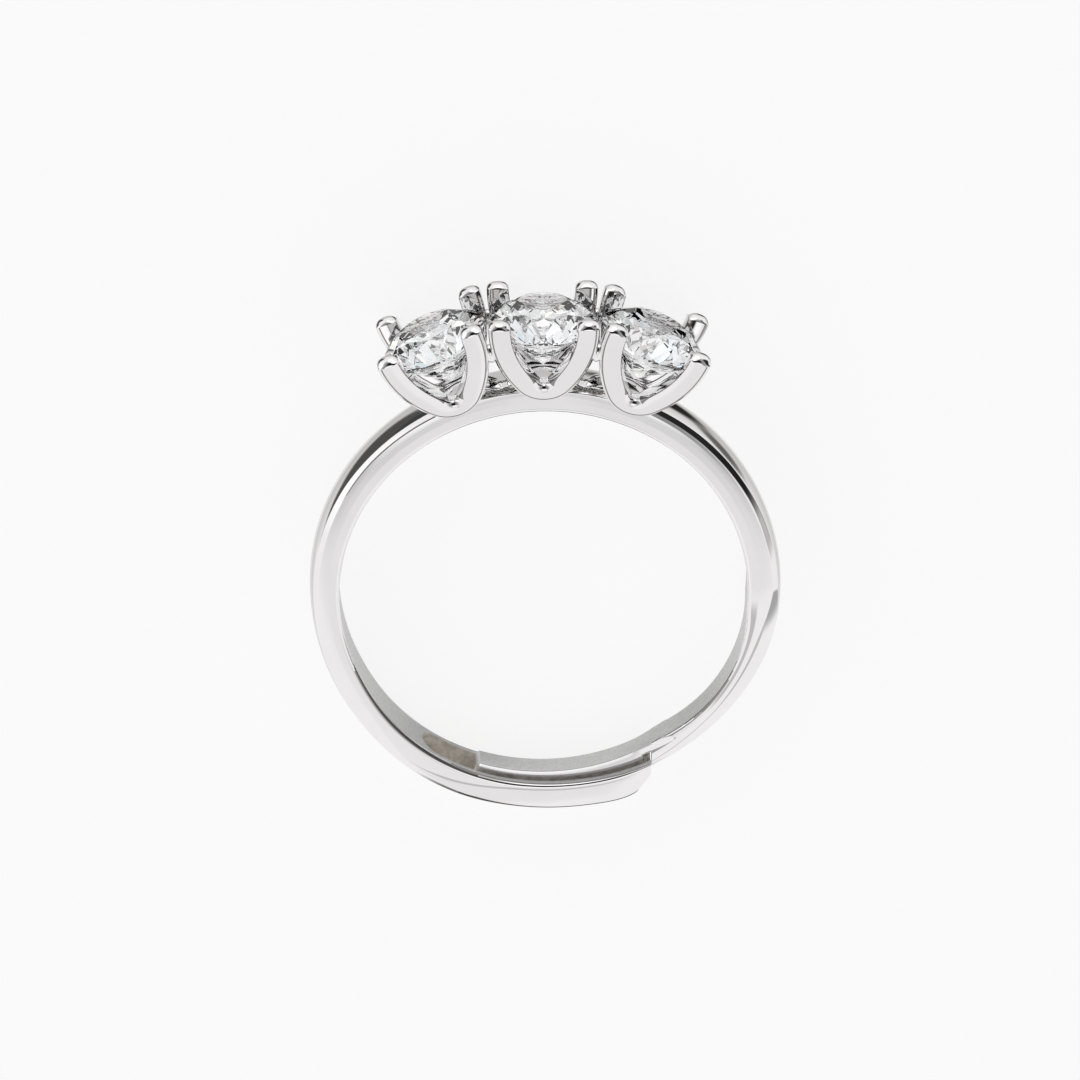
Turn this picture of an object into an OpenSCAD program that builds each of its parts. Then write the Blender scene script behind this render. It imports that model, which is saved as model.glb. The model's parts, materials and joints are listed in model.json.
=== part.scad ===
// Three stone ring: a domed band whose ends overlap under the finger so that it
// can be opened or closed a little, three four-prong heads of bent straps on top,
// and three equal round brilliants. The ring lies on its back side, as it rests.

/* [Band] */
// Diameter of the finger hole
finger_d = 17.2; // [16:0.1:19]
// Width of the band, along the finger
band_w = 2.3; // [2:0.1:2.8]
// Thickness of the band at the crown of its dome
band_t = 1.32; // [1.26:0.01:1.5]
// How much thicker the band is on the tongue's side than on the channel's side
band_uneven = 0.18; // [0:0.02:0.2]
// How far the dome falls from its crown to the sides
dome_fall = 0.22; // [0.15:0.01:0.35]
// Chamfer along the edges of the band
band_edge = 0.17; // [0.1:0.01:0.2]

/* [Overlap under the finger] */
// How far the channelled shank's inside swings out from the finger hole
channel_swing = 0.4; // [0.25:0.01:0.45]
// How far that shank's outside swings out
channel_out_swing = 0.3; // [0.2:0.01:0.35]
// Thickness of the channel's two lips
lip_t = 0.38; // [0.3:0.01:0.5]
// Direction, seen from the finger hole, in which the channel begins
channel_start = 234.5; // [232:0.5:240]
// Sideways distance from the ring's middle to the channel's open end
channel_reach = 4.56; // [4:0.01:5]
// How much of the channel's end face its slanted outer corner takes away
channel_nose = 0.65; // [0.4:0.05:0.8]
// Thickness of the tongue
tongue_t = 0.85; // [0.7:0.01:0.9]
// Direction in which the tongue ends
tongue_end = 251; // [248:1:256]
// Play between the tongue and the channel, at the floor and at the lips
tongue_play = 0.2; // [0.1:0.01:0.25]
// Chamfer round the tongue's free end
tongue_edge = 0.1; // [0.05:0.01:0.15]
// How much thinner the other shank is at its shoulder
shank_taper = 0.32; // [0.2:0.01:0.4]
// Width of that shank at its shoulder
shoulder_w = 1.6; // [1.5:0.02:1.8]
// Least height of that shank's flat sides, below their bevel
shank_side = 0.6; // [0.5:0.05:0.7]
// Height of the shoulder's ledge beside the tongue
ledge_h = 0.38; // [0.3:0.01:0.45]

/* [Heads] */
// Angle between neighbouring heads, round the finger hole
head_angle = 21.7; // [21.4:0.1:22.4]
// Height of the prong tips' middles above the band's crown
tip_rise = 2.91; // [2.8:0.01:3.1]
// Distance between neighbouring prong tips of a head
prong_pitch = 3.74; // [3.68:0.01:3.8]
// Diameter of a prong's round tip
tip_d = 0.8; // [0.76:0.01:0.9]
// Width of a strap, seen from the front
strap_w = 0.94; // [0.88:0.01:1]
// Thickness of a strap
strap_t = 0.75; // [0.65:0.01:0.8]
// Lean of the straps: their feet are closer together than their tips
strap_lean = 10; // [8:0.5:11]
// Radius of the two outer arcs of a strap's arch
arch_r = 4.76; // [4.6:0.02:4.9]
// Height of the arcs' middles above the middles of the prong tips
arch_lift = 0.19; // [0.1:0.01:0.3]
// Radius that rounds the outside of a strap's foot
foot_r = 1.49; // [1.35:0.01:1.6]
// Radius in the crotch between a strap's arms
crotch_r = 0.25; // [0.15:0.01:0.35]
// Chamfer at the top corners of a strap's arms
arm_edge = 0.14; // [0.08:0.01:0.2]
// Height of the solder that joins neighbouring heads
solder_h = 0.8; // [0.6:0.05:1]
// Depth of that solder, along the finger
solder_t = 0.5; // [0.3:0.05:0.6]

/* [Stones] */
// Diameter of a stone at its girdle
stone_d = 4.5; // [4.4:0.01:4.56]
// Table width as a share of the stone's diameter
table_share = 0.57; // [0.53:0.01:0.62]
// Slope of the crown's main facets
crown_slope = 34.5; // [32:0.5:36]
// Slope of the pavilion's main facets
pavilion_slope = 40.8; // [39:0.1:42]
// Thickness of the girdle at the tips of the main facets
girdle_t = 0.135; // [0.1:0.005:0.2]
// Height of the table above the middles of the prong tips
table_rise = 0.2; // [0.12:0.01:0.3]
// Gap between a stone and the seat cut for it in the prongs
stone_gap = 0.05; // [0.04:0.01:0.08]

/* [Hidden] */
$fn = 96;
metal_colour = [0.86, 0.86, 0.88];
stone_colour = [0.93, 0.96, 1.0];

// The ring is drawn as it is worn: X across, Y up to the heads, Z along the
// finger, with the middle of the finger hole at the origin.
bore_r = finger_d / 2;
crown_r = bore_r + band_t;
out_shift = band_uneven / 2;
half_w = band_w / 2;
far = 2 * crown_r;
dome_r = (half_w * half_w + dome_fall * dome_fall) / (2 * dome_fall);

// The channelled shank's arcs turn about points on lines through left_join, so
// that they leave the upper arc without a kink there.
left_join = 185;
left_turn = 120;
swing_way = -[cos(left_join), sin(left_join), 0];
out_middle = [out_shift, 0, 0] + channel_out_swing * swing_way;
out_r = crown_r + channel_out_swing;
slot_half = half_w - lip_t;
tongue_half = slot_half - tongue_play;
tongue_r = bore_r + tongue_t;
slot_r = tongue_r + tongue_play;

// The tongue's shank: its outside turns about a point above the middle, and the
// bevel of its sides about a point up and left, so that both cut in gradually.
taper_angle = 60;
shank_rise = shank_taper / sin(taper_angle);
bevel_swing = 2.6;
narrow_from = 0.5;
narrow_to = -6;
shoulder_half = shoulder_w / 2;
shoulder_gap = 0.12;
shoulder_turn = 66;
shoulder_x = channel_reach + shoulder_gap;
flank_angle = -57;
flank_half_turn = 6;

// Straps, prong tips and stones.
tip_y = crown_r + tip_rise;
tip_x = prong_pitch / 2;
tip_r = tip_d / 2;
arm_out = tip_x + strap_w / 2;
arch_x = arch_r - arm_out;
inner_r = arch_r - strap_w;
arc_steps = 14;
stone_r = stone_d / 2;
table_r = table_share * stone_r;
crown_h = (stone_r - table_r) * tan(crown_slope);
pavilion_h = stone_r * tan(pavilion_slope);
girdle_y = tip_y + table_rise - crown_h;

// Resting place: on its back side the ring stands on the outer back prongs of
// the two side heads and on the band's back edge below the finger.
low_y = out_middle[1] - out_r;
edge_y = -low_y - dome_fall - band_edge;
prong_y = tip_y * cos(head_angle) - tip_x * sin(head_angle);
stance = prong_y + edge_y;
stance_fall = tip_x - half_w;
rest_tilt = atan(stance_fall / stance) + asin(tip_r / norm([stance, stance_fall]));
rest_z = edge_y * sin(rest_tilt) + half_w * cos(rest_tilt);
top_y = tip_y * cos(rest_tilt) + tip_x * sin(rest_tilt) + tip_r;
bottom_y = (low_y + dome_r) * cos(rest_tilt) - dome_r;
rest_y = -(top_y + bottom_y) / 2;

function arc(c, r, a0, a1, n) = [for (i = [0:n]) let (a = a0 + (a1 - a0) * i / n) c + r * [cos(a), sin(a)]];
function mirrored(pts) = [for (i = [len(pts) - 1:-1:0]) [-pts[i][0], pts[i][1]]];

// Section of the band's outside: a domed bar with broken edges.
module band_section(crown) {
    face = crown - dome_fall - band_edge;
    intersection() {
        translate([crown - dome_r, 0]) circle(dome_r);
        polygon([[bore_r / 2, -half_w], [face, -half_w], [face + half_w, 0],
                 [face, half_w], [bore_r / 2, half_w]]);
    }
}

// A finger hole of the given radius, flared at both edges of the band.
module bore_cut(r) {
    flare = far - half_w + band_edge;
    rotate_extrude()
        polygon([[0, -far], [r + flare, -far], [r, band_edge - half_w],
                 [r, half_w - band_edge], [r + flare, far], [0, far]]);
}

module upper_arc() {
    translate([out_shift, 0, 0]) rotate_extrude(angle = left_join, start = 0) band_section(crown_r);
}

// The shank that thins down to the tongue. Its domed outside and the bevels of
// its sides cut into the arc that the upper band would go on with.
module tapered_shank() {
    bevel_r = bore_r + shank_side + bevel_swing + shoulder_half;
    difference() {
        intersection() {
            translate([out_shift, 0, 0])
                rotate_extrude(angle = shoulder_turn, start = -shoulder_turn) band_section(crown_r);
            translate([out_shift, shank_rise, 0]) rotate_extrude() band_section(crown_r);
            translate(bevel_swing * [-cos(45), sin(45), 0])
                rotate_extrude() polygon([[0, -bevel_r], [bevel_r, 0], [0, bevel_r]]);
            translate([shoulder_x, 0, 0]) rotate([90, 0, 90])
                linear_extrude(far)
                    polygon([[far, -half_w], [far, half_w], [narrow_from, half_w], [narrow_to, shoulder_half],
                             [-far, shoulder_half], [-far, -shoulder_half], [narrow_to, -shoulder_half],
                             [narrow_from, -half_w]]);
        }
        for (side = [0, 1]) mirror([0, 0, side]) flank_cut();
    }
}

// What is cut away beside the root of the tongue: down to the ledge, behind a
// flank that runs in slantwise from the shank's side to the tongue's side.
module flank_cut() {
    run = bore_r * tan(flank_half_turn);
    intersection() {
        rotate([0, 0, flank_angle]) rotate([90, 0, 90])
            linear_extrude(far)
                polygon([[run, shoulder_half], [-run, tongue_half], [-far, tongue_half], [-far, far], [run, far]]);
        cylinder(h = 2 * far, r = bore_r + ledge_h, center = true);
    }
}

module tongue() {
    root = 360 - (shoulder_turn - 2 * flank_half_turn);
    intersection() {
        rotate_extrude(angle = root - tongue_end, start = tongue_end)
            polygon([[bore_r / 2, -tongue_half], [tongue_r, -tongue_half],
                     [tongue_r, tongue_half], [bore_r / 2, tongue_half]]);
        rotate([0, 0, tongue_end]) rotate([90, 0, 90])
            linear_extrude(far)
                polygon([[0, tongue_edge - tongue_half], [tongue_edge, -tongue_half], [far, -tongue_half],
                         [far, tongue_half], [tongue_edge, tongue_half], [0, tongue_half - tongue_edge]]);
    }
}

// The shank with the channel, open towards the finger, that the tongue lies in.
module channelled_shank() {
    difference() {
        translate(out_middle) rotate_extrude(angle = left_turn, start = left_join) band_section(out_r);
        translate(channel_swing * swing_way) bore_cut(bore_r + channel_swing);
        channel_end();
        channel_cut();
    }
}

// What is cut off at the channel's open end, with the slant across its corner.
module channel_end() {
    corner_y = out_middle[1] - sqrt(pow(out_r, 2) - pow(channel_reach - out_middle[0], 2));
    linear_extrude(2 * far, center = true)
        polygon([[channel_reach, far], [channel_reach, corner_y + channel_nose],
                 [channel_reach - far, corner_y + channel_nose - far], [2 * far, -2 * far]]);
}

// The channel: its closed end is round, as a cutter leaves it.
module channel_cut() {
    nose_angle = channel_start + asin(slot_half / slot_r);
    nose_floor = sqrt(slot_r * slot_r - slot_half * slot_half);
    rotate_extrude(angle = left_join + left_turn - nose_angle, start = nose_angle)
        polygon([[bore_r / 2, -slot_half], [slot_r, -slot_half], [slot_r, slot_half], [bore_r / 2, slot_half]]);
    rotate([0, 0, nose_angle]) rotate([0, 90, 0])
        translate([0, 0, bore_r / 2]) cylinder(h = nose_floor - bore_r / 2, r = slot_half);
}

// Front view of a strap: a pointed arch upside down, with a rounded foot and
// crotch. The middles of its two prong tips are at height 0.
function strap_outline() =
    let (foot_fall = sqrt(pow(arch_r - foot_r, 2) - arch_x * arch_x),
         crotch_fall = sqrt(pow(inner_r - crotch_r, 2) - arch_x * arch_x),
         foot_a = -atan2(foot_fall, arch_x),
         crotch_a = -atan2(crotch_fall, arch_x),
         arch_c = [-arch_x, arch_lift],
         start_fall = arch_lift + arm_edge,
         outer = arc(arch_c, arch_r, -asin(start_fall / arch_r), foot_a, arc_steps),
         foot = arc([0, arch_lift - foot_fall], foot_r, foot_a, -90, arc_steps / 2),
         inner = arc(arch_c, inner_r, -asin(start_fall / inner_r), crotch_a, arc_steps),
         crotch = arc([0, arch_lift - crotch_fall], crotch_r, crotch_a, -90, arc_steps / 2),
         right_out = concat([[arm_out - arm_edge, 0]], outer, [for (i = [1:len(foot) - 1]) foot[i]]),
         right_in = concat([[arm_out - strap_w + arm_edge, 0]], inner, [for (i = [1:len(crotch) - 1]) crotch[i]]),
         left_out = mirrored(right_out),
         left_in = mirrored(right_in))
    concat(right_out, [for (i = [1:len(left_out) - 1]) left_out[i]],
           [for (i = [len(left_in) - 1:-1:0]) left_in[i]],
           [for (i = [len(right_in) - 2:-1:0]) right_in[i]]);

// One strap with its two prong tips, leaning out from its foot.
module strap() {
    translate([0, tip_y, tip_x]) rotate([strap_lean, 0, 0]) {
        linear_extrude(strap_t, center = true) polygon(strap_outline());
        for (x = [-tip_x, tip_x]) translate([x, 0, 0]) sphere(tip_r);
    }
}

// A head without its stone: two straps, with the stone's seat cut out of them.
module head() {
    difference() {
        for (side = [0, 1]) mirror([0, 0, side]) strap();
        stone_seat();
    }
}

module stone_seat() {
    tall = 2 * tip_rise;
    at_girdle()
        rotate_extrude()
            polygon([[0, -girdle_t - pavilion_h - stone_gap], [stone_r + stone_gap, -girdle_t],
                     [stone_r + stone_gap, 0], [table_r + stone_gap, crown_h], [table_r + stone_gap, tall],
                     [0, tall]]);
}

// Puts a stone's own upright frame, with its girdle at height 0, into a head.
module at_girdle() {
    translate([0, girdle_y, 0]) rotate([-90, 0, 0]) children();
}

// Solder between neighbouring heads, where their straps come closest.
module solder() {
    depth = tip_rise / 3;
    z = tip_x - depth * sin(strap_lean);
    for (side = [-1, 1])
        translate([0, tip_y - depth, side * z]) cube([strap_w / 2, solder_h, solder_t], center = true);
}

// Round brilliant: each function gives a ring of corners, from the table down.
function stone_point(r, a, z) = [r * cos(a), r * sin(a), z];
module brilliant() {
    polyhedron(points = brilliant_points(), faces = brilliant_faces());
}

mains = 8;
step = 360 / mains;
girdle_sides = 64;
star_share = 0.5;
lower_share = 0.22;
apothem = cos(step / 2);
star_r = table_r * apothem + star_share * (stone_r - table_r * apothem);
star_z = (stone_r - star_r * apothem) * tan(crown_slope);
lower_r = lower_share * stone_r;
lower_z = -girdle_t - (stone_r - lower_r * apothem) * tan(pavilion_slope);

// Height of a half facet's plane over the girdle circle, from the plane's fall
// between the girdle corners at 0 and at half a step.
function scallop(a, r_in, z_in) =
    let (mid = step / 4,
         off = abs((a % (step / 2)) - mid),
         chord = stone_r * cos(mid),
         slope = z_in / (chord - r_in * cos(mid)))
    slope * (chord - stone_r * cos(off));

function brilliant_points() = concat(
    [for (k = [0:mains - 1]) stone_point(table_r, k * step, crown_h)],
    [for (k = [0:mains - 1]) stone_point(star_r, (k + 0.5) * step, star_z)],
    [for (i = [0:girdle_sides - 1]) let (a = i * 360 / girdle_sides)
        stone_point(stone_r, a, scallop(a, star_r, star_z))],
    [for (i = [0:girdle_sides - 1]) let (a = i * 360 / girdle_sides)
        stone_point(stone_r, a, scallop(a, lower_r, lower_z + girdle_t) - girdle_t)],
    [for (k = [0:mains - 1]) stone_point(lower_r, (k + 0.5) * step, lower_z)],
    [[0, 0, -girdle_t - pavilion_h]]);

star_0 = mains;
upper_0 = 2 * mains;
under_0 = upper_0 + girdle_sides;
lower_0 = under_0 + girdle_sides;
culet = lower_0 + mains;
per_main = girdle_sides / mains;
function wrap(i) = (i + girdle_sides) % girdle_sides;
function next_main(k) = (k + 1) % mains;
function last_main(k) = (k + mains - 1) % mains;

function brilliant_faces() = concat(
    [[for (k = [mains - 1:-1:0]) k]],
    [for (k = [0:mains - 1]) [k, next_main(k), star_0 + k]],
    [for (k = [0:mains - 1]) [k, star_0 + k, upper_0 + k * per_main, star_0 + last_main(k)]],
    [for (k = [0:mains - 1]) concat([star_0 + k],
        [for (j = [per_main / 2:-1:0]) upper_0 + wrap(k * per_main + j)])],
    [for (k = [0:mains - 1]) concat([star_0 + k],
        [for (j = [per_main:-1:per_main / 2]) upper_0 + wrap(k * per_main + j)])],
    [for (i = [0:girdle_sides - 1]) [upper_0 + i, upper_0 + wrap(i + 1), under_0 + wrap(i + 1), under_0 + i]],
    [for (k = [0:mains - 1]) concat([lower_0 + k],
        [for (j = [0:per_main / 2]) under_0 + wrap(k * per_main + j)])],
    [for (k = [0:mains - 1]) concat([lower_0 + k],
        [for (j = [per_main / 2:per_main]) under_0 + wrap(k * per_main + j)])],
    [for (k = [0:mains - 1]) [culet, lower_0 + last_main(k), under_0 + k * per_main, lower_0 + k]]);

// The whole metal part, in the worn frame.
module worn_metal() {
    difference() {
        union() {
            upper_arc();
            tapered_shank();
            tongue();
        }
        bore_cut(bore_r);
    }
    channelled_shank();
    for (a = [-head_angle, 0, head_angle]) rotate([0, 0, a]) head();
    for (a = [-head_angle / 2, head_angle / 2]) rotate([0, 0, a]) solder();
}

module resting() {
    translate([-out_shift, rest_y, rest_z]) rotate([rest_tilt, 0, 0]) children();
}

module stone(a) {
    color(stone_colour) resting() rotate([0, 0, a]) at_girdle() brilliant();
}

module ring_metal() {
    color(metal_colour) resting() worn_metal();
}

ring_metal();
stone(head_angle);  // stone_left
stone(0);  // stone_centre
stone(-head_angle);  // stone_right
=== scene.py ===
"""Looks of the three stone ring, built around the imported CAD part.

The metal is modelled again in millimetres, in the frame in which the ring is worn:
X across the finger, Y up to the stones, Z along the finger towards the viewer. Angles go
round the finger hole in degrees from +X, and radii are counted from its axis. The band runs
from the right shank's shoulder at -56 degrees over the top, at 90, to the channel's end at 295.5.
"""
import json
import math

import bmesh
import bpy
import numpy as np
from mathutils import Matrix, Vector


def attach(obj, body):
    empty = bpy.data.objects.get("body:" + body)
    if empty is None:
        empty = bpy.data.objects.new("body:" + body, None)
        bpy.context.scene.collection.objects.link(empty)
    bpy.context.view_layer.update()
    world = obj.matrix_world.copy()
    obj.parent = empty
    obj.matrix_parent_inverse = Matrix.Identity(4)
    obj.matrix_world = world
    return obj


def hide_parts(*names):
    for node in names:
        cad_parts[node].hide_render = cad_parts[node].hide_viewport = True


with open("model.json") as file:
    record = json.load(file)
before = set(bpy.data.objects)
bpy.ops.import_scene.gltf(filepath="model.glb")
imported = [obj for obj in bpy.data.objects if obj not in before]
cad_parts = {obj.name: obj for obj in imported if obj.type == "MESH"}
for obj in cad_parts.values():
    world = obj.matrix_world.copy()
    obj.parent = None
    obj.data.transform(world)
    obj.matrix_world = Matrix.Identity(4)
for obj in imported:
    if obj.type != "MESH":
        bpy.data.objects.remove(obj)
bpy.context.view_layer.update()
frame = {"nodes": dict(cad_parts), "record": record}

# Where the worn ring lies in the row's frame, from the finger hole's mount.
MM = 0.001
hole = next(m for m in frame["record"]["mounts"] if m["kind"] == "bore")
tilt = math.atan2(-hole["axis"][1], hole["axis"][2])
worn = Matrix.Translation(hole["pos_m"]) @ Matrix.Rotation(tilt, 4, "X")
worn_mm = worn @ Matrix.Scale(MM, 4)

# Band: finger hole, half width, radius of the domed outside, how far that falls to its edge,
# and the edge's own width.
BORE_R = 8.6
HALF_W = 1.15
DOME_R = 3.115
DOME_FALL = 0.22
EDGE = 0.17
# Right shank: loss of half width towards the shoulder, the arc that bows its finger side out
# (radius, shift, middle and half of its angles), and the straight outer chamfer's sum and slope.
TAPER = 0.35
BOW_R, BOW_SHIFT, BOW_MIDDLE, BOW_HALF = 6.864, 1.966, -30, 60
SHANK_SUM, SHANK_SLOPE = 12.6, 1.838
SHOULDER_X = 4.595
# Channel: where its shank starts and ends, and the slot in it.
CHANNEL_SHANK = 196
CHANNEL_X = 4.56
CHANNEL_START = 234.5
SLOT_HALF = 0.77
SLOT_R = 9.65
# Tongue, and the flanks through which the right shank runs in to it.
TONGUE_HALF = 0.57
TONGUE_R = 9.45
TONGUE_END = 251
TONGUE_ROOT = -53
FLANK_FROM, FLANK_TO, FLANK_RUN = -48.5, -70, 15
FLANK_HALF = 0.86
FLANK_R = 8.98
# Heads: a prong tip's height and its distance from the head's middle, and the angle between heads.
TIP_Y = 12.83
TIP_X = 1.87
HEAD_ANGLE = 21.7
# Straps: their arch and its lift, the rounds at foot and crotch, width, thickness and lean.
ARCH_R, ARCH_LIFT, FOOT_R, CROTCH_R = 4.76, 0.19, 1.49, 0.34
STRAP_W, STRAP_T, STRAP_LEAN = 0.94, 0.75, 10
BEVEL, CROTCH_ROUND = 0.14, 0.3
# Caps: half width, where they start, how far they rise, and the angle at which they start.
CAP_X, CAP_Y, CAP_RISE, CAP_TURN = 0.455, 0.16, 0.33, 12
# Stones: radius, table as a share of it, crown and pavilion angles, girdle, and the room round them.
STONE_R, TABLE_SHARE, CROWN_ANGLE, PAVILION_ANGLE = 2.25, 0.57, 34.5, 40.8
TABLE_RISE, GIRDLE, SEAT_GAP = 0.2, 0.135, 0.05
# Section of the band, from its crown to the middle of its finger side: the dome's points before
# the first corner, the points of each of the five corners, and the last point's number.
DOME_POINTS, CORNER_POINTS, SECTION_END = 7, 6, 42


def principled(name, **values):
    """A material and its shader, whose inputs are named with _ for each space."""
    mat = bpy.data.materials.new(name)
    mat.use_nodes = True
    shader = mat.node_tree.nodes["Principled BSDF"]
    for key, value in values.items():
        shader.inputs[key.replace("_", " ")].default_value = value
    return mat, shader


def grain(mat, shader, size, height, dark, light):
    """Grain of a size in millimetres: bumps of a height, and a colour that goes from dark to light."""
    nodes, links = mat.node_tree.nodes, mat.node_tree.links
    place = nodes.new("ShaderNodeTexCoord")
    noise = nodes.new("ShaderNodeTexNoise")
    noise.inputs["Scale"].default_value = 1 / (size * MM)
    noise.inputs["Detail"].default_value = 3
    links.new(place.outputs["Object"], noise.inputs["Vector"])
    bump = nodes.new("ShaderNodeBump")
    bump.inputs["Distance"].default_value = height * MM
    links.new(noise.outputs["Fac"], bump.inputs["Height"])
    links.new(bump.outputs["Normal"], shader.inputs["Normal"])
    ramp = nodes.new("ShaderNodeValToRGB")
    for stop, position, color in zip(ramp.color_ramp.elements, (0.35, 0.65), (dark, light)):
        stop.position = position
        stop.color = (*color, 1)
    links.new(noise.outputs["Fac"], ramp.inputs["Fac"])
    links.new(ramp.outputs["Color"], shader.inputs["Base Color"])


silver, silver_shader = principled("polished_silver", Metallic=1.0, Roughness=0.05)
grain(silver, silver_shader, 2.5, 0.0012, dark=(0.92, 0.912, 0.914), light=(0.945, 0.937, 0.939))
satin, satin_shader = principled("satin_silver", Metallic=0.5, Roughness=0.38)
grain(satin, satin_shader, 0.12, 0.004, dark=(0.68, 0.68, 0.68), light=(0.78, 0.78, 0.78))
rough, rough_shader = principled("rough_silver", Metallic=0.3, Roughness=0.6)
grain(rough, rough_shader, 0.3, 0.05, dark=(0.66, 0.62, 0.57), light=(0.93, 0.89, 0.84))
# Dark silver that paints dark reflections: lines along the band's and straps' edges, and the grains between
# the heads.
edge, _ = principled("painted_dark_reflection_silver", Base_Color=(0.3, 0.29, 0.28, 1), Metallic=1.0, Roughness=0.15)
glass, _ = principled(
    "clear_stone", Base_Color=(1, 1, 1, 1), Roughness=0.0, IOR=2.16, Transmission_Weight=1.0
)
# Paler dark silver: a softer painted dark reflection along the front face's outer edge in the right shank.
soft_edge, _ = principled("painted_soft_reflection_silver", Base_Color=(0.58, 0.57, 0.56, 1), Metallic=1.0, Roughness=0.2)
METALS = (silver, satin, rough, edge, soft_edge)
SILVER, SATIN, ROUGH, DARK_REFLECTION_LINE, SOFT_REFLECTION_LINE = range(5)


def spline(rows):
    """A smooth curve through rows of (position, value), as a function."""
    x = np.array([r[0] for r in rows], float)
    y = np.array([r[1] for r in rows], float)
    h = np.diff(x)
    n = len(x)
    a = np.zeros((n, n))
    b = np.zeros(n)
    a[0, 0] = a[-1, -1] = 1
    for i in range(1, n - 1):
        a[i, i - 1 : i + 2] = h[i - 1], 2 * (h[i - 1] + h[i]), h[i]
        b[i] = 6 * ((y[i + 1] - y[i]) / h[i] - (y[i] - y[i - 1]) / h[i - 1])
    m = np.linalg.solve(a, b)

    def value(spot):
        spot = min(max(spot, x[0]), x[-1])
        i = min(int(np.searchsorted(x, spot, side="right")) - 1, n - 2)
        lo, hi = (spot - x[i]) / h[i], (x[i + 1] - spot) / h[i]
        return (
            hi * y[i]
            + lo * y[i + 1]
            + ((hi**3 - hi) * m[i] + (lo**3 - lo) * m[i + 1]) * h[i] ** 2 / 6
        )

    return value


def ease(x, start, end):
    """A soft step from 0 at the start to 1 at the end."""
    t = min(max((x - start) / (end - start), 0), 1)
    return t * t * (3 - 2 * t)


# Radius of the dome's crown round the ring: (angle, radius).
crown_at = spline(
    [
        (-64, 9.65), (-50, 9.77), (-40, 9.86), (-30, 9.92), (-15, 9.99), (0, 10.02), (20, 10.0), (50, 9.99),
        (90, 9.93), (130, 9.88), (160, 9.89), (180, 9.83), (200, 9.85), (210, 9.9), (220, 9.97), (230, 10.09),
        (240, 10.2), (250, 10.28), (262, 10.3), (272, 10.34), (283, 10.43), (288.5, 10.49), (291, 10.47),
        (293, 10.4), (295, 10.28), (297, 10.12), (304, 9.9),
    ]
)
# Radius of the channel shank's finger side: (angle, radius).
swing_at = spline(
    [
        (196, 8.6), (208, 8.63), (220, 8.72), (240, 8.86), (260, 8.95), (272, 8.99), (282, 9.06), (292, 9.16),
        (304, 9.28),
    ]
)
# Where the front face begins to fall towards the outside, as a share of its width: (angle, share).
ridge_at = spline(
    [
        (-64, 0.5), (0, 0.5), (90, 0.5), (200, 0.5), (222, 0.62), (234, 0.85), (243, 0.68), (252, 0.48),
        (262, 0.31), (272, 0.26), (304, 0.22),
    ]
)
# How far the front face has fallen at its outer edge: (angle, fall).
fall_at = spline(
    [
        (-64, 0.03), (-20, 0.04), (0, 0.045), (40, 0.035), (65, 0.02), (90, 0), (115, 0.02), (140, 0.035),
        (200, 0.055), (222, 0.05), (234, 0.035), (243, 0.045), (252, 0.08), (262, 0.17), (272, 0.2),
        (304, 0.2),
    ]
)


def inner_at(a):
    """Finger side: round on top, swung out along the channel, bowed out in the right shank."""
    if a > CHANNEL_SHANK:
        return swing_at(a)
    if abs(a - BOW_MIDDLE) >= BOW_HALF:
        return BORE_R
    to = math.radians(a - BOW_MIDDLE)
    bowed = BOW_SHIFT * math.cos(to) + math.sqrt(BOW_R**2 - (BOW_SHIFT * math.sin(to)) ** 2)
    return max(BORE_R, bowed)


def half_at(a):
    """Half width of the band, which tapers in the right shank."""
    return HALF_W - TAPER * ease(-a, -2, 42)


def left_side(a):
    """1 along the ring's left side, where the outer chamfer is wider, and 0 elsewhere."""
    return ease(a, 60, 120) * ease(-a, -160, -136)


def chamfer_at(a):
    """The sum of radius and half width on the outer chamfer, which runs straight in the right shank."""
    plain = crown_at(a) - DOME_FALL - EDGE + half_at(a) + 0.08 * left_side(a)
    if a >= 10:
        return plain
    to = math.radians(a)
    return min(plain, SHANK_SUM + SHANK_SLOPE * (math.sin(to) - math.cos(to)))


def fillet(points, radii, steps):
    """A polyline with its inner corners rounded."""
    out = [np.array(points[0], float)]
    last = len(points) - 1
    for i in range(1, last):
        p, a, b = (np.array(points[j], float) for j in (i, i - 1, i + 1))
        u, v = (a - p) / np.linalg.norm(a - p), (b - p) / np.linalg.norm(b - p)
        half = min(math.acos(max(-1, min(1, float(u @ v)))) / 2, math.radians(89.95))
        # Neighbouring corners share the side between them.
        share_a = 0.96 if i == 1 else 0.48
        share_b = 0.96 if i == last - 1 else 0.48
        room = min(np.linalg.norm(a - p) * share_a, np.linalg.norm(b - p) * share_b)
        reach = min(radii[i - 1] / math.tan(half), room)
        r = reach * math.tan(half)
        across = u + v if np.linalg.norm(u + v) > 1e-6 else np.array([-u[1], u[0]])
        middle = p + across / np.linalg.norm(across) * r / math.sin(half)
        start, end = p + u * reach - middle, p + v * reach - middle
        turn = math.atan2(start[0] * end[1] - start[1] * end[0], float(start @ end))
        for k in range(steps + 1):
            c, s = math.cos(turn * k / steps), math.sin(turn * k / steps)
            out.append(middle + np.array([c * start[0] - s * start[1], s * start[0] + c * start[1]]))
    out.append(np.array(points[last], float))
    return out


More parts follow.
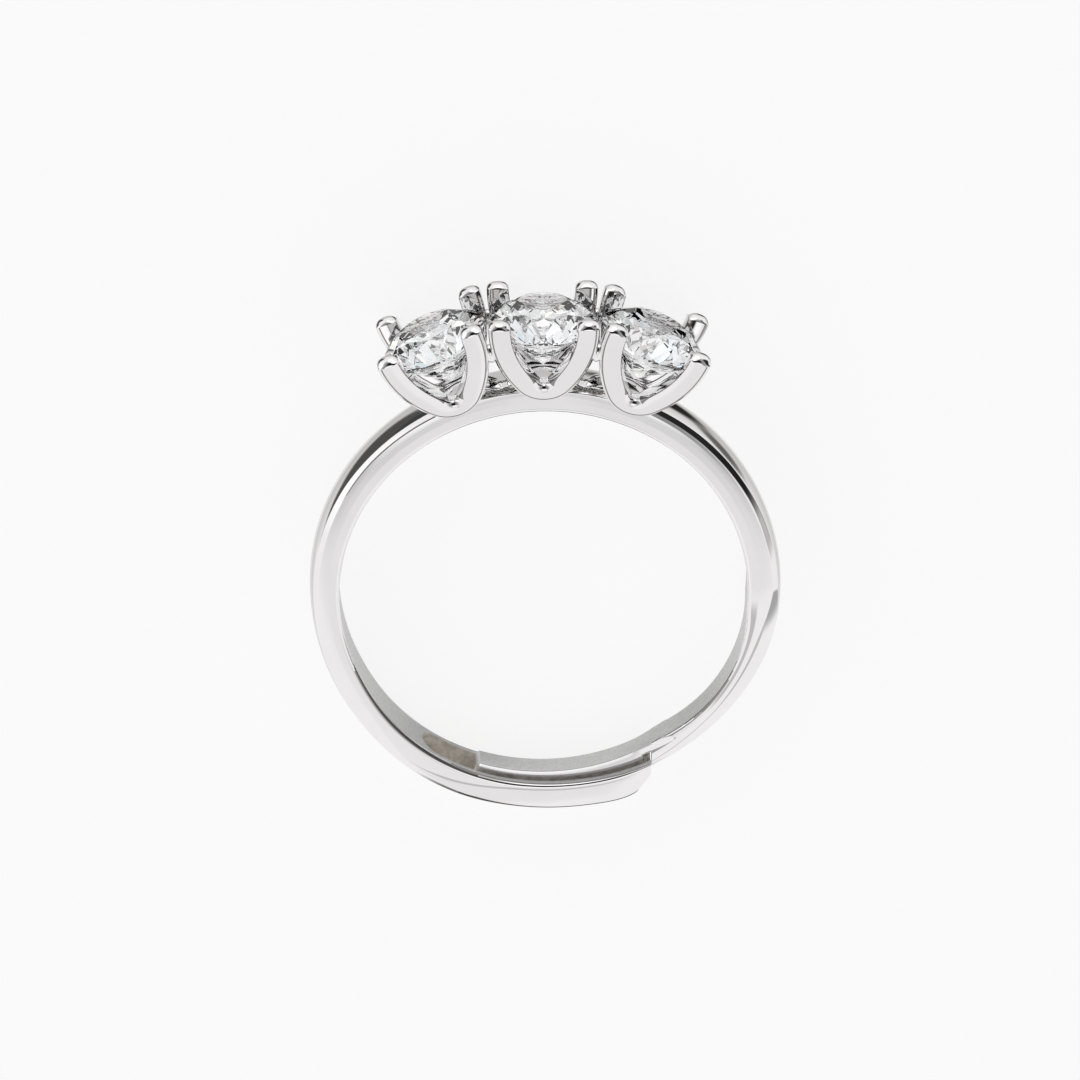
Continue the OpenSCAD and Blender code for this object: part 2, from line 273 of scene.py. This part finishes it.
def band_ring(a):
    """Closed section of the band at an angle, as (radius, along the finger)."""
    crown, inner, half, chamfer = crown_at(a), inner_at(a), half_at(a), chamfer_at(a)
    # The dome's arc runs from the crown to the chamfer.
    middle = crown - DOME_R
    reach = chamfer - middle - 0.075 * left_side(a)
    z = (reach - math.sqrt(2 * DOME_R**2 - reach**2)) / 2
    turns = np.linspace(0, math.asin(z / DOME_R), DOME_POINTS + 2)
    arc = [(middle + DOME_R * math.cos(t), DOME_R * math.sin(t)) for t in turns]
    # The front face falls from its ridge to the chamfer, and along the channel by a hair towards
    # the finger side too.
    fall = min(fall_at(a), half - z - 0.05)
    side = half - 2 * EDGE
    face = chamfer - half + fall
    low = ease(a, 240, 262)
    ridge = inner + ridge_at(a) * (face - inner)
    between = (ridge + face) / 2
    corners = [
        *arc[-2:],
        (face, half - fall),
        (between, half - fall * (0.36 + 0.14 * low)),
        (ridge, half),
        (inner, half - 0.003 * low),
        (inner, side),
    ]
    # The face's outer edge is rounder at the ring's lower and upper right.
    low_right = 0.16 * ease(-a, 6, 16) * ease(a, -42, -20)
    high_right = 0.23 * ease(a, 14, 28) * ease(-a, -80, -62)
    radii = [0.08, 0.07 + low_right + high_right, 1.6, 1.6, 0.17]
    front = arc[:-2] + [tuple(p) for p in fillet(corners, radii, CORNER_POINTS - 1)]
    # One more point next to the last corner keeps the flat face's shading flat.
    last_corner = DOME_POINTS + 1 + 4 * CORNER_POINTS
    flat_end, edge_start = np.array(front[last_corner - 1]), np.array(front[last_corner])
    front.insert(last_corner, tuple(edge_start + 0.08 * (flat_end - edge_start)))
    front += [(inner, side * share) for share in (0.6, 0.3)] + [(inner, 0)]
    back = [(r, -s) for r, s in front[-2:0:-1]]
    return front + back


def band_kind(turns):
    """Material of a face of the band: the angle of its row, and its place in the section."""
    flats = CORNER_POINTS - 1
    dome_edge = DOME_POINTS + 1
    face_edge = dome_edge + CORNER_POINTS
    satin_from = dome_edge + 5 * CORNER_POINTS

    def kind(row, column):
        a = turns[min(row, len(turns) - 1)]
        column = min(column, 2 * SECTION_END - 1 - column)
        if column >= satin_from:
            return SATIN
        # Along the channel a painted dark reflection grows as a line from the dome's edge to the front face's
        # outer edge, by one face at each degree.
        if dome_edge <= column < min(face_edge + flats, dome_edge + a - 243):
            return DARK_REFLECTION_LINE
        # The front face's outer edge is painted dark, as a dark reflection, at the upper left, and half dark,
        # as a softer painted reflection, in the right shank.
        in_face_edge = column - face_edge
        if 0 <= in_face_edge < min(flats, a - 110, 152 - a):
            return DARK_REFLECTION_LINE
        if 0 <= in_face_edge < min(flats, -4 - a):
            return SOFT_REFLECTION_LINE
        # The edge to the finger side is painted dark, as a dark reflection, before the channel and in the
        # right shank, and as a narrower painted line along the channel.
        lines = min(3, max(min(a - 200, 254 - a), min(a + 50, -20 - a) / 3))
        if satin_from - 1 - lines <= column < satin_from - 1:
            return DARK_REFLECTION_LINE
        if satin_from - 2 <= column and a > 243:
            return DARK_REFLECTION_LINE
        return SILVER

    return kind


def at(r, a, z):
    """A point from its radius, its angle and its place along the finger."""
    return (r * math.cos(math.radians(a)), r * math.sin(math.radians(a)), z)


def at_plane(x, r):
    """How far from +X a circle of a radius meets a plane across X, in degrees."""
    return math.degrees(math.acos(x / r))


def as_object(name, bm):
    """An object of a mesh under construction, which is used up."""
    data = bpy.data.meshes.new(name)
    for mat in METALS:
        data.materials.append(mat)
    bm.to_mesh(data)
    bm.free()
    obj = bpy.data.objects.new(name, data)
    bpy.context.scene.collection.objects.link(obj)
    return obj


def mesh(name, rings, closed=False, kind=lambda row, column: SILVER):
    """A mesh through rings of points that all have the same number of points."""
    n = len(rings[0])
    bm = bmesh.new()
    rows = [[bm.verts.new(p) for p in ring] for ring in rings]
    pairs = list(zip(rows[:-1], rows[1:])) + ([(rows[-1], rows[0])] if closed else [])
    for row, (one, two) in enumerate(pairs):
        for i in range(n):
            made = bm.faces.new((one[i], one[(i + 1) % n], two[(i + 1) % n], two[i]))
            made.material_index = kind(row, i)
    if not closed:
        for ends in (rows[0][::-1], rows[-1]):
            bm.faces.new(ends).material_index = kind(0, 0)
    bmesh.ops.recalc_face_normals(bm, faces=bm.faces)
    if bm.calc_volume(signed=True) < 0:
        bmesh.ops.reverse_faces(bm, faces=bm.faces)
    return as_object(name, bm)


def lump(name, radius, place, kind=SILVER):
    """A ball, put in its place and shape by a matrix."""
    bm = bmesh.new()
    bmesh.ops.create_icosphere(bm, subdivisions=3, radius=radius)
    bm.transform(place)
    for face in bm.faces:
        face.material_index = kind
    return as_object(name, bm)


def cut(obj, tool):
    """The object without the tool's space. The tool is used up."""
    m = obj.modifiers.new("cut", "BOOLEAN")
    m.operation, m.object, m.solver = "DIFFERENCE", tool, "EXACT"
    graph = bpy.context.evaluated_depsgraph_get()
    graph.update()
    data = bpy.data.meshes.new_from_object(obj.evaluated_get(graph))
    obj.modifiers.clear()
    obj.data = data
    bpy.data.objects.remove(tool)
    return obj


def join(parts, name):
    """One object of several. They are used up."""
    bm = bmesh.new()
    for obj in parts:
        bm.from_mesh(obj.data)
        bpy.data.objects.remove(obj)
    return as_object(name, bm)


def band():
    """Band and shanks in one sweep, from the shoulder over the top to the channel's end."""
    low, fine_from, high = -56, 286, 295.5
    angles = [*np.linspace(low, fine_from, 333), *np.linspace(fine_from, high, 27)[1:]]

    def end_ring(start, whole, plane_x):
        """The section where it meets a plane across X, each point followed along its own line."""
        ring = []
        for i in range(len(band_ring(start))):
            a = start
            for _ in range(12):
                a = whole - at_plane(plane_x, band_ring(a)[i][0])
            r, z = band_ring(a)[i]
            ring.append(at(r, a, z))
        return ring

    rings = [end_ring(low, 0, SHOULDER_X)]
    for a in angles:
        rings.append([at(r, a, z) for r, z in band_ring(a)])
    # A little beyond the plane at which end_tool cuts.
    rings.append(end_ring(high, 360, CHANNEL_X + 0.015))
    return mesh("band", rings, kind=band_kind([low, *angles]))


def channel_tool():
    """What is cut from the band for the channel: a slot with a round start."""
    base_r = 7.5

    def slot(base_a, a, half):
        """A section of the slot; its base lies inside the finger hole."""
        sides = [(at(base_r, base_a, z), at(SLOT_R, a, z)) for z in (-half, half)]
        return [*sides[0], *reversed(sides[1])]

    bend = math.degrees(SLOT_HALF / SLOT_R)
    nose = CHANNEL_START + bend
    rings = []
    for t in np.linspace(-90, 0, 13)[1:]:
        a = nose + bend * math.sin(math.radians(t))
        rings.append(slot(a, a, SLOT_HALF * math.cos(math.radians(t))))
    for a in np.linspace(nose, 297, 48)[1:]:
        rings.append(slot(a, a, SLOT_HALF))
    ends = [360 - at_plane(SHOULDER_X - 0.01, r) for r in (base_r, SLOT_R)]
    rings.append(slot(*ends, SLOT_HALF))
    return mesh("channel_tool", rings, kind=lambda row, column: ROUGH)


def end_tool():
    """What is cut from the channel's end: a thin gap to the shoulder, with a round lower corner."""
    far_x, top_y = SHOULDER_X - 0.005, -4
    bend, turn, drop = 0.45, 0.6, 8.45
    arc = []
    for t in np.linspace(0, turn, 9):
        arc.append((CHANNEL_X - bend * (1 - math.cos(t)), -drop - bend * math.sin(t)))
    slope = (math.sin(turn), math.cos(turn))
    beyond = (arc[-1][0] - 2 * slope[0], arc[-1][1] - 2 * slope[1])
    outline = [(CHANNEL_X, top_y), *arc, beyond, (far_x, beyond[1]), (far_x, top_y)]
    return mesh("end_tool", [[(x, y, z) for x, y in outline] for z in (-3, 3)])


def flank_half(a):
    """Half width of the shank's finger side where it runs in to the tongue."""
    return FLANK_HALF + (TONGUE_HALF - FLANK_HALF) * min(max((FLANK_FROM - a) / FLANK_RUN, 0), 1)


def flank_tool(side):
    """What is cut from one flank of the right shank beside the tongue."""
    base_r, outer_half = 8.2, 1.4
    rings = []
    for a in np.linspace(FLANK_FROM, FLANK_TO, 44):
        lo, hi = sorted((side * flank_half(a), side * outer_half))
        rings.append([at(base_r, a, lo), at(FLANK_R, a, lo), at(FLANK_R, a, hi), at(base_r, a, hi)])
    return mesh("flank_tool", rings)


def tongue():
    """The thin end of the right shank, that lies in the channel."""
    # It stays this far within the band's own surfaces.
    inside = 0.004
    # Between these angles its outside sinks to that of the flanks.
    sink_from, sink_to = 360 - 63.4, 360 - 62.4
    round_end = [TONGUE_END + s for s in (0, 0.08, 0.22, 0.42, 0.68, 1)]
    rings = []
    for a in [*round_end, *np.linspace(TONGUE_END + 1.5, 360 + TONGUE_ROOT, 44)]:
        inset = 0.16 * (1 - math.sqrt(1 - max(0, 1 - (a - TONGUE_END)) ** 2))
        inner, outer, half = inner_at(a - 360) + inside + inset, TONGUE_R - inset, TONGUE_HALF - inset
        if a > sink_from:
            outer = TONGUE_R - (TONGUE_R - FLANK_R) * ease(a, sink_from, sink_to)
            half = flank_half(a - 360) - inside
        corners = [(outer, 0), (outer, half), (inner, half), (inner, 0)]
        front = [tuple(p) for p in fillet(corners, [0.04, 0.05], 4)]
        ring = front + [(r, -z) for r, z in front[-2:0:-1]]
        rings.append([at(r, a, z) for r, z in ring])
    middle = len(rings[0]) // 2

    def kind(row, column):
        return SATIN if middle - 6 < column < middle + 5 else SILVER

    return mesh("tongue", rings, kind=kind)


def strap_lines():
    """Outer and inner line of half a strap, from its tip down to its foot."""
    arch_x, inner_r = ARCH_R - (TIP_X + STRAP_W / 2), ARCH_R - STRAP_W
    foot_fall = math.sqrt((ARCH_R - FOOT_R) ** 2 - arch_x**2)
    crotch_fall = math.sqrt((inner_r - CROTCH_R) ** 2 - arch_x**2)
    foot_a, crotch_a = math.atan2(foot_fall, arch_x), math.atan2(crotch_fall, arch_x)
    out, inside = [(TIP_X + CAP_X, CAP_Y)], [(TIP_X - CAP_X, CAP_Y)]
    start = math.asin(ARCH_LIFT / ARCH_R)
    # Along the arch, a hair narrower under the cap.
    for t in np.linspace(0, 1, 26):
        narrow = 0.01 * (1 - ease(t, 0, 0.4))
        for line, r, end in ((out, ARCH_R - narrow, foot_a), (inside, inner_r + narrow, crotch_a)):
            a = start + t * (end - start)
            line.append((-arch_x + r * math.cos(a), ARCH_LIFT - r * math.sin(a)))
    # Round the foot and the crotch.
    rounds = ((out, FOOT_R, foot_fall, foot_a), (inside, CROTCH_R, crotch_fall, crotch_a))
    for t in np.linspace(0, 1, 13)[1:]:
        for line, r, fall, end in rounds:
            a = end + t * (math.pi / 2 - end)
            line.append((r * math.cos(a), ARCH_LIFT - fall - r * math.sin(a)))
    return out, inside


def strap():
    """A flat strap bent to a pointed arch, from tip to tip. Its narrow rounds are dark lines of painted
    reflection.
    """
    half = list(zip(*strap_lines()))
    stations = half + [((-o[0], o[1]), (-n[0], n[1])) for o, n in half[-2::-1]]
    thick = STRAP_T / 2
    rings = []
    for o, n in stations:
        o, n = np.array(o), np.array(n)
        width = np.linalg.norm(o - n)
        crotch = CROTCH_ROUND * math.exp(-((n[0] / 0.32) ** 2))
        corners = [(0, 0), (0, thick), (width - BEVEL, thick), (width, thick - BEVEL), (width, 0)]
        front = fillet(corners, [0.03 + crotch, 0.09, 0.05], CORNER_POINTS - 1)
        ring = [(w, z) for w, z in front] + [(w, -z) for w, z in front[-2:0:-1]]
        rings.append([(*(n + (o - n) * (w / width)), z) for w, z in ring])
    count, middle = len(rings[0]), len(rings) / 2

    def kind(row, column):
        corner, place = divmod(min(column, count - 1 - column), CORNER_POINTS)
        in_corner = corner < 3 and place > 0
        in_crotch = corner == 0 and abs(row - middle) <= 12
        # Painted dark reflection on the narrow rounds, but not in the crotch.
        return DARK_REFLECTION_LINE if in_corner and not in_crotch else SILVER

    return mesh("strap", rings, kind=kind)


def bead(x):
    """The pillow shaped cap on an arm: flat sided below, round on top."""
    around, top = 48, 88
    start = math.radians(CAP_TURN)
    rings = []
    for t in np.linspace(CAP_TURN, top, 14):
        c, up = math.cos(math.radians(t)), math.sin(math.radians(t))
        y = CAP_Y + CAP_RISE * (up - math.sin(start))
        power = 0.5 + 0.45 * ease(t, CAP_TURN, CAP_TURN + 26)
        share = c / math.cos(start)
        half_x, half_z = (CAP_X + 0.01) * share**0.85, (STRAP_T / 2 + 0.005) * share
        ring = []
        for k in range(around):
            a = 2 * math.pi * k / around
            cs, sn = math.cos(a), math.sin(a)
            to_x = half_x * math.copysign(abs(cs) ** power, cs)
            to_z = half_z * math.copysign(abs(sn) ** power, sn)
            ring.append((x + to_x, y, to_z))
        rings.append(ring)
    return mesh("bead", rings)


def seat_tool():
    """The room for a stone, a little larger than the stone and open above it."""
    around, axis_r = 96, 0.001
    table = TABLE_SHARE * STONE_R
    crown_h = (STONE_R - table) * math.tan(math.radians(CROWN_ANGLE))
    depth = STONE_R * math.tan(math.radians(PAVILION_ANGLE))
    y0 = TIP_Y + TABLE_RISE - crown_h
    line = [
        (axis_r, y0 - GIRDLE - depth - SEAT_GAP),
        (STONE_R + SEAT_GAP, y0 - GIRDLE),
        (STONE_R + SEAT_GAP, y0),
        (table + SEAT_GAP, y0 + crown_h),
        (table + SEAT_GAP, y0 + 3),
        (axis_r, y0 + 3),
    ]
    rings = []
    for k in range(around):
        a = 2 * math.pi * k / around
        rings.append([(r * math.cos(a), y, r * math.sin(a)) for r, y in line])
    return mesh("seat_tool", rings, closed=True, kind=lambda row, column: SATIN)


def head_parts():
    """A strap with its caps in front and their mirror image behind, less the room for the stone."""
    parts = []
    for side in (1, -1):
        place = Matrix.Translation((0, TIP_Y, TIP_X)) @ Matrix.Rotation(math.radians(STRAP_LEAN), 4, "X")
        if side < 0:
            place = Matrix.Diagonal((1, 1, -1, 1)) @ place
        for piece in (strap(), bead(TIP_X), bead(-TIP_X)):
            piece.data.transform(place)
            if side < 0:
                piece.data.flip_normals()
            parts.append(cut(piece, seat_tool()))
    return parts


def turned(degrees):
    """A turn round the finger hole's axis."""
    return Matrix.Rotation(math.radians(degrees), 4, "Z")


def three_heads():
    """The three heads, each turned to its stone."""
    head = join(head_parts(), "head")
    heads = []
    for turn in (HEAD_ANGLE, 0, -HEAD_ANGLE):
        one = head.copy()
        one.data = head.data.copy()
        one.data.transform(turned(turn))
        bpy.context.scene.collection.objects.link(one)
        heads.append(one)
    bpy.data.objects.remove(head)
    return heads


def solder_lumps():
    """Solder where neighbouring straps touch, in front and behind."""
    depth = 0.97
    z = TIP_X - depth * math.sin(math.radians(STRAP_LEAN))
    flat = Matrix.Diagonal((0.25, 0.42, 0.27, 1))
    lumps = []
    for turn in (HEAD_ANGLE / 2, -HEAD_ANGLE / 2):
        for side in (1, -1):
            place = turned(turn) @ Matrix.Translation((0, TIP_Y - depth, side * z)) @ flat
            lumps.append(lump("solder", 1, place))
    return lumps


def grain_lumps():
    """Two rows of small grains on the band between the heads, in three sizes, in silver painted with dark
    reflection.
    """
    count, step = 6, 1.25
    flat = Matrix.Diagonal((1.25, 0.8, 1, 1))
    lumps = []
    for k in range(count):
        for turn, side, spread in ((HEAD_ANGLE / 2, 1, 0.93), (-HEAD_ANGLE / 2, -1, 1.0)):
            size = 0.1 + 0.035 * (k * 5 % 3)
            a = 90 + turn + side * (k - (count - 1) / 2) * step * spread
            place = Matrix.Translation(at(9.68 + 0.02 * (k % 2), a, 0.97)) @ flat
            # The grains' dark silver is a painted dark reflection.
            lumps.append(lump("grain", size, place, DARK_REFLECTION_LINE))
    return lumps


ring_band = band()
for tool in (channel_tool(), end_tool(), flank_tool(1), flank_tool(-1)):
    ring_band = cut(ring_band, tool)
trim = [*three_heads(), *solder_lumps(), *grain_lumps()]
metal = join([ring_band, tongue(), *trim], "ring_silver")
metal.data.transform(worn_mm)
for face in metal.data.polygons:
    face.use_smooth = True
metal.data.set_sharp_from_angle(angle=math.radians(28))
weighted = metal.modifiers.new("even", "WEIGHTED_NORMAL")
weighted.keep_sharp = True
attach(metal, "root")
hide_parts("ring_metal")

for name in ("stone_left", "stone_centre", "stone_right"):
    stone = frame["nodes"][name]
    stone.data.materials.clear()
    stone.data.materials.append(glass)
    for face in stone.data.polygons:
        face.use_smooth = False

# The camera looks along the finger, from above the stones. Angles in degrees, distance in
# millimetres, and the finger hole's middle in the photo's pixels.
PHOTO, PX_PER_MM, HOLE_PX = 1080, 23.7, (543.1, 583.6)
ELEVATION, YAW, DISTANCE, SENSOR = 26.64, 1.2, 650, 36
rise, yaw = math.radians(ELEVATION), math.radians(YAW)
back = Vector((-math.sin(yaw) * math.cos(rise), math.sin(rise), math.cos(yaw) * math.cos(rise)))
right = Vector((math.cos(yaw), 0, math.sin(yaw)))
up = back.cross(right)
aim = right * (PHOTO / 2 - HOLE_PX[0]) / PX_PER_MM + up * (HOLE_PX[1] - PHOTO / 2) / PX_PER_MM
pose = Matrix.Identity(4)
for row in range(3):
    pose[row][0], pose[row][1], pose[row][2] = right[row], up[row], back[row]
    pose[row][3] = (aim[row] + back[row] * DISTANCE) * MM
camera_data = bpy.data.cameras.new("camera")
camera_data.sensor_width = SENSOR
camera_data.lens = SENSOR * DISTANCE / (PHOTO / PX_PER_MM)
camera = bpy.data.objects.new("camera", camera_data)
camera.matrix_world = worn @ pose
bpy.context.scene.collection.objects.link(camera)
bpy.context.scene.camera = camera

# A floor of six metres that glows a little, so that it is as pale as the photo's background.
FLOOR = 3
floor_data = bpy.data.meshes.new("floor")
floor_corners = [(-FLOOR, -FLOOR, 0), (FLOOR, -FLOOR, 0), (FLOOR, FLOOR, 0), (-FLOOR, FLOOR, 0)]
floor_data.from_pydata(floor_corners, [], [(0, 1, 2, 3)])
floor = bpy.data.objects.new("floor", floor_data)
bpy.context.scene.collection.objects.link(floor)
paper, _ = principled(
    "pale_floor",
    Base_Color=(0.2, 0.2, 0.2, 1),
    Roughness=0.9,
    Emission_Color=(1, 1, 1, 1),
    Emission_Strength=0.834,
    Specular_IOR_Level=0.0,
)
floor_data.materials.append(paper)
floor.visible_glossy = False

# Surroundings: a pale studio with dark sides.
world = bpy.data.worlds.new("studio")
bpy.context.scene.world = world
world.use_nodes = True
tree = world.node_tree
tree.nodes.clear()
output = tree.nodes.new("ShaderNodeOutputWorld")
background = tree.nodes.new("ShaderNodeBackground")
coords = tree.nodes.new("ShaderNodeTexCoord")
tree.links.new(background.outputs[0], output.inputs[0])


def towards(direction):
    """The cosine between the world's direction and one in the worn frame."""
    made = tree.nodes.new("ShaderNodeVectorMath")
    made.operation = "DOT_PRODUCT"
    tree.links.new(coords.outputs["Generated"], made.inputs[0])
    made.inputs[1].default_value = (worn.to_3x3() @ Vector(direction)).normalized()
    return made.outputs["Value"]


def patch(name, direction, inner, outer):
    """One inside a cone of the inner angle about a direction, zero outside the outer one."""
    made = tree.nodes.new("ShaderNodeMapRange")
    made.label = name
    made.interpolation_type = "SMOOTHSTEP"
    tree.links.new(towards(direction), made.inputs["Value"])
    made.inputs["From Min"].default_value = math.cos(math.radians(outer))
    made.inputs["From Max"].default_value = math.cos(math.radians(inner))
    return made.outputs["Result"]


def constant(value):
    made = tree.nodes.new("ShaderNodeValue")
    made.outputs[0].default_value = value
    return made.outputs[0]


def blend_to(before, factor, value):
    """A mix of two colours; each is a node's output or a plain colour."""
    made = tree.nodes.new("ShaderNodeMix")
    made.data_type = "RGBA"
    tree.links.new(factor, made.inputs[0])
    for given, socket in ((before, made.inputs[6]), (value, made.inputs[7])):
        if isinstance(given, bpy.types.NodeSocket):
            tree.links.new(given, socket)
        else:
            socket.default_value = given
    return made.outputs[2]


def tinted(strength, tint):
    """A colour of a tint and a brightness."""
    return (*(strength * c for c in tint), 1)


# What the metal reflects: a label, a direction in the worn frame, the angles within which it is
# full and beyond which it is gone, and its brightness and tint. Later ones lie over earlier ones.
TO_CAMERA = (0, 0.448, 0.894)
FROM_CAMERA = (0, -0.448, -0.894)
LIGHTER = [
    ("below", (0, 0.1, -1), 20, 62, 0.55, (1, 0.99, 0.97)),
    ("below_bright", (0, -0.35, -0.94), 10, 25, 0.85, (1, 1, 1)),
    ("left_white", (-0.9, 0.31, 0.29), 10, 30, 1.15, (1, 1, 1)),
    ("around_camera", TO_CAMERA, 30, 59, 0.27, (1, 1, 1)),
    ("far_arms", (0, -0.12, 0.99), 9, 16, 1.05, (1, 1, 1)),
    ("top_light", (0, 0.95, 0.3), 8, 26, 1.5, (1, 1, 1)),
    ("right_light", (0.86, 0.2, -0.46), 5, 14, 0.75, (1, 1, 1)),
]
DARKER = [
    ("right_turn", (0.98, -0.09, 0.15), 6, 14, 0.5, (1, 0.99, 0.98)),
    ("camera", TO_CAMERA, 18, 25, 0.01, (1, 1, 1)),
    ("left_edge", (-0.98, -0.06, -0.15), 8, 13, 0.02, (1, 1, 1)),
    ("right_edge", (0.98, -0.06, -0.15), 8, 13, 0.02, (1, 1, 1)),
    ("outline", FROM_CAMERA, 4, 9, 0.25, (1, 1, 1)),
    ("face_turn", (0, -0.57, 0.82), 2, 5.5, 0.53, (1, 0.99, 1)),
    ("right_side", (0.93, 0.31, 0.28), 13, 25, 0.015, (1, 1, 1)),
    ("right_top", (0.75, 0.56, 0.36), 8, 20, 0.02, (1, 1, 1)),
    ("right_low", (0.36, 0.25, -0.9), 9, 17, 0.02, (1, 0.98, 0.95)),
    ("right_below", (0.66, 0.11, -0.74), 3, 11, 0.13, (1, 0.98, 0.95)),
    ("left_below", (-0.72, 0.25, -0.645), 15, 22, 0.08, (1, 0.98, 0.95)),
    ("left_high", (-0.62, 0.58, -0.53), 8, 14, 0.05, (0.95, 1, 1.02)),
    ("left_low", (-0.79, -0.03, -0.61), 7, 12, 0.08, (1, 1, 1)),
    ("straps", (0, -0.72, 0.69), 7, 10, 0.82, (1, 0.99, 0.99)),
    ("bottom_edge", (0, -0.9, -0.43), 12, 18, 0.2, (1, 0.99, 0.97)),
    ("straight_down", (0.05, -0.96, -0.25), 10, 17, 0.2, (1, 1, 1)),
    ("right_shank", (0.78, -0.61, -0.09), 3, 9, 0.4, (1, 1, 1)),
]
level = (0.9, 0.892, 0.895, 1)
for name, direction, inner, outer, strength, tint in LIGHTER + DARKER:
    level = blend_to(level, patch(name, direction, inner, outer), tinted(strength, tint))

# The stones gather light from all the ring's surroundings: paler, with small tinted patches
# spread evenly over the upper half.
STONE_LIGHT, STONE_SHARE = (0.93, 0.94, 0.955, 1), 0.85
GLINT_COUNT, GLINT_TURN = 24, 137.5
GLINTS = [
    (0.4, (1, 1, 1.02)), (1.35, (0.88, 0.97, 1.12)), (0.7, (0.76, 0.9, 1.26)), (1.4, (1, 1, 1)),
    (0.6, (1.02, 0.97, 0.9)), (0.85, (0.9, 1.04, 1.1)), (1.5, (1.02, 1, 0.94)), (0.3, (0.86, 0.86, 1.3)),
]
fire = blend_to(level, constant(STONE_SHARE), STONE_LIGHT)
for k in range(GLINT_COUNT):
    height = 0.08 + 0.9 * (k + 0.5) / GLINT_COUNT
    flat = math.sqrt(1 - height**2)
    turn = math.radians(GLINT_TURN * k)
    direction = (flat * math.cos(turn), height, flat * math.sin(turn))
    fire = blend_to(fire, patch("glint", direction, 5, 9), tinted(*GLINTS[k % len(GLINTS)]))
through = tree.nodes.new("ShaderNodeLightPath").outputs["Is Transmission Ray"]
level = blend_to(level, through, fire)
tree.links.new(level, background.inputs["Color"])
background.inputs["Strength"].default_value = 1.0

scene = bpy.context.scene
scene.view_settings.view_transform = "Standard"
scene.cycles.sample_clamp_indirect = 6

bpy.context.view_layer.update()
